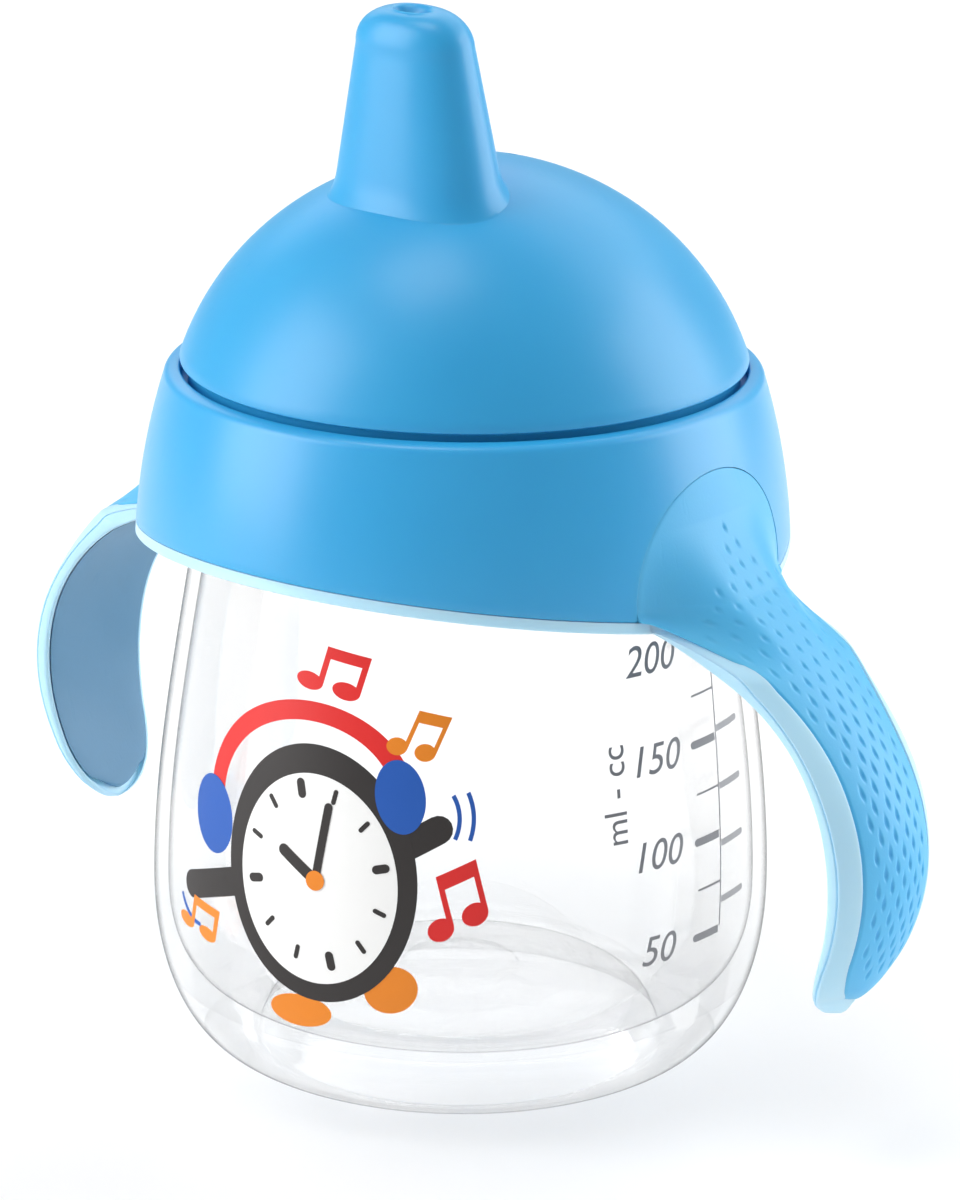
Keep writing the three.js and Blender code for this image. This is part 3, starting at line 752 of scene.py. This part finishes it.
def arm_point(side, across, high, inner_point, depth, from_outer, thin=1.0):
    """A point so many millimetres from the outer or inner face; `thin` shrinks the arm."""
    near = np.array([float(face_radius(across, high)), high])
    far = inner_face(across, high, inner_point)
    span = max(np.linalg.norm(far - near), 0.01)
    part = depth / span if from_outer else 1 - depth / span
    part = ARM_CORE + (part - ARM_CORE) * thin
    radius, height = near + (far - near) * part
    return side * math.sqrt(radius ** 2 - across ** 2), across, height


def rounding(left, reach=3.0):
    """Falls from 1 to 0 as a quarter circle over the last few millimetres."""
    left = min(max(left, 0) / reach, 1)
    return math.sqrt(1 - (1 - left) ** 2)


def make_arm(side):
    """The pale arm: sections between the outer and the inner face, closed at the tip."""
    rows = []
    for high, inner_point, left in arm_stations():
        half = arm_section(high)
        loop = half + [(-across, depth, outside) for across, depth, outside in half[::-1]]
        rows.append([arm_point(side, across, high, inner_point, depth, outside, rounding(left))
                     for across, depth, outside in loop + loop[:1]])
    rows = np.array(rows)
    root, tip = rows[:1].mean(axis=1, keepdims=True), rows[-1:].mean(axis=1, keepdims=True)
    closed = [np.repeat(root, rows.shape[1], axis=1), rows,
              np.repeat(tip, rows.shape[1], axis=1)]
    return wrapped("arm", np.concatenate(closed))


def make_core():
    core = around("pale_core", core_section)
    add_thread(core, COLLAR_BORE, THREAD_BASE + THREAD_LEAD / THREAD_STARTS / 2)
    for side in (RIGHT, LEFT):
        combine(core, make_arm(side), "UNION")
    finish_piece(core, "collar", "collar_core", PALE)


def make_pad(name, side):
    """The smooth soft pad in the inner face's pocket, with faint slanting waves."""
    stations = [(high, point, left) for high, point, left in arm_stations()
                if high < PAD_TOP and left > PAD_TIP_GAP]
    part = np.linspace(-1, 1, 41)
    rows = []
    for high, inner_point, left in stations:
        gone = stations[0][2] - left
        ending = min(rounding(left - stations[-1][2], 4.0), rounding(gone, 2.0))
        edge = max(float(arm_half(high)) - PAD_INSET, 0.1) * ending
        waves = WAVE_HEIGHT * np.sin(0.42 * left + 0.30 * edge * part) * (1 - part ** 4)
        rise = 0.1 + (1 - np.abs(part) ** 6) * PAD_RISE * ending + waves
        face = [arm_point(side, edge * at, high, inner_point, -up, False)
                for at, up in zip(part, rise)]
        back = [arm_point(side, edge * at * 0.985, high, inner_point, 0.72, False)
                for at in part[::-6]]
        rows.append(face + back + face[:1])
    pad = wrapped(name, rows, angle=50)
    finish_piece(pad, "collar", "handle_pad_right" if side == RIGHT else "handle_pad_left",
                 SLATE)


# ------------------------------------------------------------------------- lid

LID_TURN = np.linspace(0, FULL_TURN, 129)


def oval_ring(half, depth, centre=0.0, height=0.0, power=2.0):
    """One ring of the lid: a soft oval, `half` wide across and `depth` front to back."""
    cos, sin = np.cos(LID_TURN), np.sin(LID_TURN)
    across = half * np.sign(cos) * np.abs(cos) ** (2 / power)
    front = centre + depth * np.sign(sin) * np.abs(sin) ** (2 / power)
    return np.column_stack([across, front, np.zeros_like(across) + height])


def dome_height(ring, inset=0.0):
    part = (ring[:, 0] ** 2 + ring[:, 1] ** 2) / (DOME_RADIUS - inset) ** 2
    return DOME_CENTRE + (DOME_RISE - inset) * np.sqrt(np.clip(1 - part, 0, 1))


def dome_rings(spout_ring, low, high, inset=0.0, rings=22, blend=14):
    """Rings up the dome that turn from circles into the oval under the spout."""
    made = []
    for angle in np.linspace(low, high, rings):
        radius = (DOME_RADIUS - inset) * math.cos(angle)
        ring = oval_ring(radius, radius)
        ring[:, 2] = dome_height(ring, inset)
        made.append(ring)
    last = made[-1]
    for step in np.linspace(0, 1, blend + 1)[1:]:
        ring = last + (spout_ring - last) * step
        ring[:, 2] = dome_height(ring, inset)
        made.append(ring)
    return made


def spout_rings():
    """The spout's outside, from its foot on the dome to the edge of its hole."""
    foot = oval_ring(11.9, 7.0, SPOUT_FOOT_CENTRE, power=SPOUT_POWER)
    foot[:, 2] = dome_height(oval_ring(12.6, 7.6, SPOUT_FOOT_CENTRE, power=SPOUT_POWER))
    top = oval_ring(8.2, 4.9, SPOUT_TOP_CENTRE, SPOUT_SHOULDER, power=SPOUT_POWER)
    top[:, 2] += math.tan(SPOUT_LEAN) * (top[:, 1] - SPOUT_TOP_CENTRE)
    centre = np.array([0, -9.3, 0])
    made = []
    for step in [0, 0.012, 0.03, 0.055, 0.09, 0.13, 0.18, *np.linspace(0.25, 1, 14)]:
        ring = foot + (top - foot) * step
        flare = 0.72 * max(0, 1 - step / 0.16) ** 2.2
        outward = (ring - centre) * (1, 1, 0)
        ring += outward / np.linalg.norm(outward, axis=1)[:, None] * flare
        made.append(ring)
    for angle in np.linspace(0, math.pi / 2, 13)[1:]:
        rise = SPOUT_CROWN * math.sin(angle)
        centre_y = SPOUT_TOP_CENTRE - math.tan(SPOUT_LEAN) * rise
        ring = oval_ring(3.0 + 5.2 * math.cos(angle), 1.95 + 2.95 * math.cos(angle), centre_y,
                         SPOUT_SHOULDER + rise, power=SPOUT_POWER)
        ring[:, 2] += math.tan(SPOUT_LEAN) * (ring[:, 1] - centre_y)
        made.append(ring)
    return made


def hole_rings():
    """The small recess, the hole, and the channel that widens down to the dome."""
    tip, centre = SPOUT_SHOULDER + SPOUT_CROWN, -10.4
    recess = ((2.75, 1.75, 0.0), (2.55, 1.6, -0.12), (2.35, 1.45, -0.5), (2.05, 1.25, -0.7),
              (1.95, 1.15, -1.0), (1.95, 1.15, -2.0), (3.0, 1.8, -2.8), (5.2, 2.8, -4.0))
    made = [oval_ring(half, depth, centre, tip + drop, power=CHANNEL_POWER)
            for half, depth, drop in recess]
    for step in np.linspace(0, 1, 8):
        centre = SPOUT_TOP_CENTRE + (CHANNEL_FOOT - SPOUT_TOP_CENTRE) * step
        made.append(oval_ring(6.7 + 3.4 * step, 3.2 + 2.05 * step, centre, 129.5 - 20 * step,
                              power=CHANNEL_POWER))
    return made


def round_rings(*outline):
    return [oval_ring(radius, radius, 0, height) for radius, height in outline]


def tube_piece(name, half, depth, centre, wall, low, high):
    """An oval tube, open at the top, with a rounded lower end."""
    return wrapped(name, [
        oval_ring(half, depth, centre, high), oval_ring(half, depth, centre, low + 0.3),
        oval_ring(half - 0.3, depth - 0.3, centre, low),
        oval_ring(half - wall + 0.3, depth - wall + 0.3, centre, low),
        oval_ring(half - wall, depth - wall, centre, low + 0.3),
        oval_ring(half - wall, depth - wall, centre, high),
        oval_ring(half, depth, centre, high)])


def make_lid():
    spout = spout_rings()
    channel = hole_rings()
    rings = round_rings((29.7, 81.0), (30.0, 80.5), (31.0, 80.5), (31.3, 80.9), (31.3, 85.3),
                        (36.3, 85.3), (36.6, 85.6), (36.6, 86.6), (36.3, 86.9), (34.5, 86.9),
                        (34.4, 87.2), (34.4, 89.3), (34.5, 89.55), (34.9, 89.66), (35.25, 89.78),
                        (35.45, 89.95))
    rings += dome_rings(spout[0], math.asin(11.5 / DOME_RISE), math.radians(61))
    rings += spout[1:] + channel
    inside = dome_rings(oval_ring(10.1, 5.25, CHANNEL_FOOT), math.radians(22),
                        math.radians(60), LID_WALL, 12, 8)
    rings += inside[::-1] + round_rings((31.6, 90.4), (29.9, 88.6), (29.7, 88.0), (29.7, 81.0))
    lid = wrapped("dome_lid", rings)
    for name, tube in (("spout_socket", (11.5, 6.65, CHANNEL_FOOT, 1.4, 97.0, 109.2)),
                       ("vent_socket", (5.0, 5.0, VENT_CENTRE, 1.4, 97.0, 111.2))):
        combine(lid, tube_piece(name, *tube), "UNION")
    turn = np.linspace(0, FULL_TURN, 24, endpoint=False)
    vent = prism("vent_cut", VENT_RADIUS * np.column_stack([np.cos(turn), np.sin(turn)]),
                 lambda x, y: (x, VENT_CENTRE + y, 106.0), (0, 0, 14))
    combine(lid, vent, "DIFFERENCE")
    finish_piece(lid, "lid", "spout_lid", BLUE_LID)


def make_valve():
    """The valve is the CAD solid, merged, with its edges rounded as moulded silicone."""
    valve = frame["nodes"]["spout_valve"].copy()
    valve.data = valve.data.copy()
    valve.name = valve.data.name = "milky_valve"
    valve.parent = None
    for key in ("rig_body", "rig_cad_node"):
        if key in valve:
            del valve[key]
    bpy.context.scene.collection.objects.link(valve)
    close_up(valve)
    bevel = valve.modifiers.new("soft_edges", "BEVEL")
    bevel.width = 0.18 * MM
    bevel.segments = 2
    bevel.limit_method = "ANGLE"
    bevel.angle_limit = math.radians(40)
    bpy.ops.object.modifier_apply(modifier=bevel.name)
    close_up(valve, 50)
    finish_piece(valve, "valve", "spout_valve", SILICONE)


def make_seal():
    corner = np.linspace(0, math.pi, 9)
    outline = chain(
        np.column_stack([34.2 + 0.6 * np.sin(corner), 84.35 + 0.75 * np.cos(corner)]),
        np.column_stack([32.4 - 0.6 * np.sin(corner), 84.35 - 0.75 * np.cos(corner)]))
    seal = spun("seal_ring", outline, steps=128)
    finish_piece(seal, "lid", "rim_seal", SILICONE)


# ---------------------------------------------------------------------- prints

def oval(centre, half, rise, tilt=0.0, start=0.0, end=360.0, steps=48):
    turn = np.radians(np.linspace(start, end, steps + 1))
    if end - start >= 360:
        turn = turn[:-1]
    points = np.column_stack([half * np.cos(turn), rise * np.sin(turn)])
    return turned_flat(points, tilt) + centre


def turned_flat(points, tilt):
    cos, sin = math.cos(math.radians(tilt)), math.sin(math.radians(tilt))
    return np.asarray(points, float) @ np.array([[cos, sin], [-sin, cos]])


def bar(start, end, width, round_start=True, round_end=True):
    """A straight stroke with round or square ends."""
    start, end = np.array(start, float), np.array(end, float)
    lean = math.atan2(*(end - start)[::-1])
    ends = []
    for point, facing, rounded in ((end, lean, round_end), (start, lean + math.pi, round_start)):
        turn = facing + np.linspace(-math.pi / 2, math.pi / 2, 9 if rounded else 2)
        ends.append(point + width / 2 * np.column_stack([np.cos(turn), np.sin(turn)]))
    return np.vstack(ends)


def ribbon(outer, inner):
    """A closed band between two curves that run the same way."""
    return np.vstack([outer, inner[::-1]])


def wrap_onto_wall(piece, azimuth, layer):
    """Cuts a flat piece into narrow strips, lays it on the tumbler and thickens it."""
    points = get_points(piece)
    edit(piece)
    for axis in (0, 1):
        low, high = points[:, axis].min(), points[:, axis].max()
        normal = (1, 0, 0) if axis == 0 else (0, 1, 0)
        for cut in np.arange(math.ceil(low), high, 1.0 if axis == 0 else 2.0):
            place = Vector(normal) * cut * MM
            bpy.ops.mesh.select_all(action="SELECT")
            bpy.ops.mesh.bisect(plane_co=place, plane_no=normal)
    bpy.ops.mesh.select_all(action="SELECT")
    bpy.ops.mesh.remove_doubles(threshold=0.002 * MM)
    bpy.ops.object.mode_set(mode="OBJECT")
    points = get_points(piece)
    wall = wall_radius(points[:, 1])
    angle = azimuth + points[:, 0] / wall
    radius = wall + INK_LIFT + layer * INK_LAYER
    set_points(piece, np.column_stack([
        radius * np.sin(angle), -radius * np.cos(angle), points[:, 1]]))
    edit(piece)
    bpy.ops.mesh.normals_make_consistent(inside=False)
    bpy.ops.object.mode_set(mode="OBJECT")
    solid = piece.modifiers.new("ink", "SOLIDIFY")
    solid.thickness = INK_THICKNESS * MM
    solid.offset = 1
    bpy.ops.object.modifier_apply(modifier=solid.name)
    return close_up(piece, 60)


def printed(name, outlines, material, layer=0, azimuth=PICTURE_AZIMUTH):
    """Fills flat outlines of (across, height) points and prints them on the tumbler."""
    parts = [ring_piece(name, [(across, height, 0) for across, height in outline])
             for outline in outlines]
    bpy.ops.object.select_all(action="DESELECT")
    for part in parts:
        part.select_set(True)
    bpy.context.view_layer.objects.active = parts[0]
    if len(parts) > 1:
        bpy.ops.object.join()
    piece = wrap_onto_wall(parts[0], azimuth, layer)
    piece.name = piece.data.name = name
    finish_piece(piece, "tumbler", None, material)


def figures(name, body, centre, size, azimuth, tilt=0.0, slant=0.25):
    """Prints plain numerals or a unit, centred on a point."""
    bpy.ops.object.select_all(action="DESELECT")
    bpy.ops.object.text_add()
    text = bpy.context.object
    text.data.body = body
    text.data.size = size * MM
    text.data.shear = slant
    text.data.resolution_u = 6
    text.data.align_x, text.data.align_y = "CENTER", "CENTER"
    bpy.ops.object.convert(target="MESH")
    piece = named(name)
    points = get_points(piece)
    middle = (points.min(axis=0) + points.max(axis=0)) / 2
    flat = turned_flat((points - middle)[:, :2], tilt) + centre
    set_points(piece, np.column_stack([flat, np.zeros(len(flat))]))
    wrap_onto_wall(piece, azimuth, 0)
    finish_piece(piece, "tumbler", None, INK_GREY)


def note_pair(centre, width, height, tilt):
    """Two beamed quavers: two heads, two stems and a thick slanting beam."""
    heads = [oval((-0.32, -0.36), 0.21, 0.17, 15), oval((0.24, -0.26), 0.21, 0.17, 15)]
    stems = [[(x, low), (x + 0.09, low), (x + 0.09, low + 0.76), (x, low + 0.76)]
             for x, low in ((-0.20, -0.34), (0.36, -0.24))]
    beam = [(-0.20, 0.20), (0.45, 0.31), (0.45, 0.54), (-0.20, 0.43)]

    def place(shape):
        return turned_flat(np.array(shape) * (width, height), tilt) + centre

    return [place(shape) for shape in heads + [beam]], [place(shape) for shape in stems]


def make_picture():
    """A plain twin-bell alarm clock that rings, and four pairs of music notes."""
    tilt = 13
    middle = np.array((-1.4, 33.6))

    def at(across, height):
        return turned_flat([(across, height)], tilt)[0] + middle

    case = oval(middle, 13.2, 16.2, tilt / 2, steps=96)
    keys = [bar(at(-11.5, -0.5), at(-22.0, -1.5), 3.6), bar(at(11.5, 2.0), at(16.6, 3.6), 3.6)]
    printed("picture_case", [case], INK_DARK)
    printed("picture_keys", keys, INK_DARK, layer=-0.3)
    printed("picture_dial", [oval(middle + (-0.1, -0.6), 10.9, 13.2, tilt / 2, steps=96)],
            INK_WHITE, layer=1)

    marks = []
    for hour in range(12):
        angle = hour * FULL_TURN / 12
        reach = np.array([math.sin(angle) * 9.4, math.cos(angle) * 11.5])
        marks.append(bar(at(*(reach * 0.88)), at(*reach), 1.1 if hour % 3 == 0 else 0.6))
    printed("picture_marks", marks, INK_DARK, layer=2)
    printed("picture_hour_hand", [bar(at(0, -0.6), at(-3.8, 3.4), 1.5)], INK_DARK, layer=2)
    printed("picture_minute_hand", [bar(at(0, -0.6), at(3.4, 8.2), 1.1)], INK_DARK, layer=3)
    printed("picture_pin", [oval(at(0, -0.6), 1.25, 1.25)], INK_ORANGE, layer=4)

    handle = ribbon(oval(at(-0.6, 8.6), 15.2, 12.9, tilt, 12, 168),
                    oval(at(-0.6, 8.6), 12.6, 10.5, tilt, 12, 168))
    printed("picture_handle", [handle], INK_RED, layer=-0.6)
    bells = [oval(at(-15.6, 7.6), 3.7, 4.9, tilt), oval(at(12.7, 8.4), 3.1, 4.6, tilt)]
    printed("picture_bells", bells, INK_BLUE, layer=1)
    arcs = ((14.5, 5.4, 5.2, -38, 22), (14.5, 5.4, 6.9, -32, 16), (-20.5, -1.4, 5.0, 195, 262))
    rings = [ribbon(oval(at(x, z), r, r * 1.1, tilt, low, high, 16),
                    oval(at(x, z), r - 0.55, r * 1.1 - 0.55, tilt, low, high, 16))
             for x, z, r, low, high in arcs]
    printed("picture_ringing", rings, INK_BLUE)
    feet = [oval((-3.4, 15.6), 4.4, 2.2, 4), oval((8.8, 20.2), 3.5, 3.0, 30)]
    printed("picture_feet", feet, INK_ORANGE, layer=-0.9)

    for name, centre, width, height, lean, material in (
            ("red_notes_top", (-0.4, 58.8), 9.0, 6.2, -14, INK_RED),
            ("orange_notes_top", (10.9, 52.3), 6.2, 6.4, -20, INK_ORANGE),
            ("red_notes_low", (16.5, 32.0), 8.0, 8.4, 16, INK_RED),
            ("orange_notes_low", (-20.8, 23.4), 8.6, 5.2, -12, INK_ORANGE)):
        faces, stems = note_pair(centre, width, height, lean)
        printed(name, faces, material)
        printed(name + "_stems", stems, material, layer=0.4)


def make_scale():
    """The volume scale: a leaning line, ticks each side, plain numerals and a unit."""
    def line_at(height):
        return (height - 39.5) * SCALE_LEAN

    upright = [bar((line_at(23), 23), (line_at(62), 62), 0.22)]
    printed("scale_line", upright, INK_GREY, azimuth=SCALE_AZIMUTH)
    thick, thin = [], []
    for volume, height in ((50, 22.6), (75, 28.7), (100, 34.8), (125, 40.8), (150, 47.0),
                           (175, 53.0), (200, 59.0)):
        across = line_at(height)
        if volume % 50 == 0:
            thick.append(bar((across - 4.9, height), (across - 0.3, height), 1.0, True, False))
        else:
            thin.append(bar((across - 4.6, height), (across - 0.1, height), 0.28))
    printed("scale_major_ticks", thick, INK_GREY, azimuth=SCALE_AZIMUTH)
    printed("scale_minor_ticks", thin, INK_GREY, azimuth=SCALE_AZIMUTH)
    ounces = [bar((line_at(height) + 0.25, height), (line_at(height) + 5.4, height), 0.85,
                  False, True) for height in np.arange(26.2, 61, 7.2)]
    printed("scale_ounce_ticks", ounces, INK_PALE_GREY, azimuth=SCALE_AZIMUTH)
    for volume, height, angle in ((50, 22.9, 77.9), (100, 35.1, 78.8), (150, 47.0, 79.7),
                                  (200, 59.3, 79.9)):
        figures(f"scale_{volume}", str(volume), (0, height), 5.4, math.radians(angle))
    figures("scale_unit", "ml - cc", (0, 43.5), 4.6, math.radians(69.0), tilt=90, slant=0)


# ----------------------------------------------------------- floor, light, view

CAMERA_AZIMUTH = math.radians(39.0)
CAMERA_PITCH = math.radians(17.87)
CAMERA_DISTANCE = 0.6825
AIM_HEIGHT = 0.0579
AIM_SIDE = 0.0022
CAMERA_ROLL = math.radians(0.5)
CAMERA_LENS = 161.9
SENSOR_WIDTH = 36
AIR_STRENGTH = 0.39

AWAY = Vector((math.sin(CAMERA_AZIMUTH) * math.cos(CAMERA_PITCH),
               -math.cos(CAMERA_AZIMUTH) * math.cos(CAMERA_PITCH), math.sin(CAMERA_PITCH)))
SIDEWAYS = Vector((math.cos(CAMERA_AZIMUTH), math.sin(CAMERA_AZIMUTH), 0))
UP = Vector((0, 0, 1))


def make_floor():
    bpy.ops.object.select_all(action="DESELECT")
    bpy.ops.mesh.primitive_plane_add(size=6, location=(0, 0, -0.0003))
    floor = named("studio_floor")
    bpy.ops.object.transform_apply(location=True, rotation=True, scale=True)
    material, shader = new_material("studio_paper")
    nodes, links = material.node_tree.nodes, material.node_tree.links
    place = nodes.new("ShaderNodeTexCoord")
    noise = nodes.new("ShaderNodeTexNoise")
    noise.inputs["Scale"].default_value = 3
    ramp = nodes.new("ShaderNodeValToRGB")
    ramp.color_ramp.elements[0].color = (0.90, 0.90, 0.90, 1)
    ramp.color_ramp.elements[1].color = (0.92, 0.92, 0.92, 1)
    links.new(place.outputs["Object"], noise.inputs["Vector"])
    links.new(noise.outputs["Fac"], ramp.inputs["Fac"])
    links.new(ramp.outputs["Color"], shader.inputs["Base Color"])
    shader.inputs["Roughness"].default_value = 0.8
    shader.inputs["Specular IOR Level"].default_value = 0.1
    floor.data.materials.append(material)


def softbox(name, place, size, power, aim=Vector((0, 0, 0.06))):
    light = bpy.data.lights.new(name, "AREA")
    light.shape = "RECTANGLE"
    light.size, light.size_y = size
    light.energy = power
    lamp = bpy.data.objects.new(name, light)
    bpy.context.scene.collection.objects.link(lamp)
    lamp.location = place
    lamp.rotation_euler = (aim - place).to_track_quat("-Z", "Y").to_euler()


def make_light():
    world = bpy.data.worlds.new("studio_air")
    bpy.context.scene.world = world
    world.use_nodes = True
    air = world.node_tree.nodes["Background"]
    air.inputs["Color"].default_value = (1, 1, 1, 1)
    air.inputs["Strength"].default_value = AIR_STRENGTH
    softbox("key_left", -0.60 * SIDEWAYS + 0.14 * AWAY + 0.28 * UP, (0.45, 0.6), 3.6)
    softbox("fill_right", 0.60 * SIDEWAYS - 0.10 * AWAY + 0.28 * UP, (0.45, 0.6), 3.2)
    softbox("top", -0.15 * SIDEWAYS + 0.05 * AWAY + 0.75 * UP, (0.30, 0.30), 1.1)
    far = -0.95 * AWAY
    softbox("far_floor", far + 0.9 * UP, (1.8, 0.9), 6.2, Vector((far.x, far.y, 0)))


def make_camera():
    data = bpy.data.cameras.new("studio_camera")
    data.lens = CAMERA_LENS
    data.sensor_width = SENSOR_WIDTH
    data.sensor_fit = "AUTO"
    data.clip_start = 0.01
    camera = bpy.data.objects.new("studio_camera", data)
    bpy.context.scene.collection.objects.link(camera)
    aim = Vector((0, 0, AIM_HEIGHT)) + AIM_SIDE * SIDEWAYS
    camera.location = aim + CAMERA_DISTANCE * AWAY
    camera.rotation_euler = (-AWAY).to_track_quat("-Z", "Y").to_euler()
    camera.rotation_euler.rotate_axis("Z", CAMERA_ROLL)
    bpy.context.scene.camera = camera
    bpy.context.scene.view_settings.view_transform = "Standard"


make_tumbler()
make_band()
make_core()
make_grip("soft_grip_right", RIGHT)
make_grip("soft_grip_left", LEFT)
make_pad("inner_pad_right", RIGHT)
make_pad("inner_pad_left", LEFT)
make_lid()
make_valve()
make_seal()
make_picture()
make_scale()
make_floor()
make_light()
make_camera()
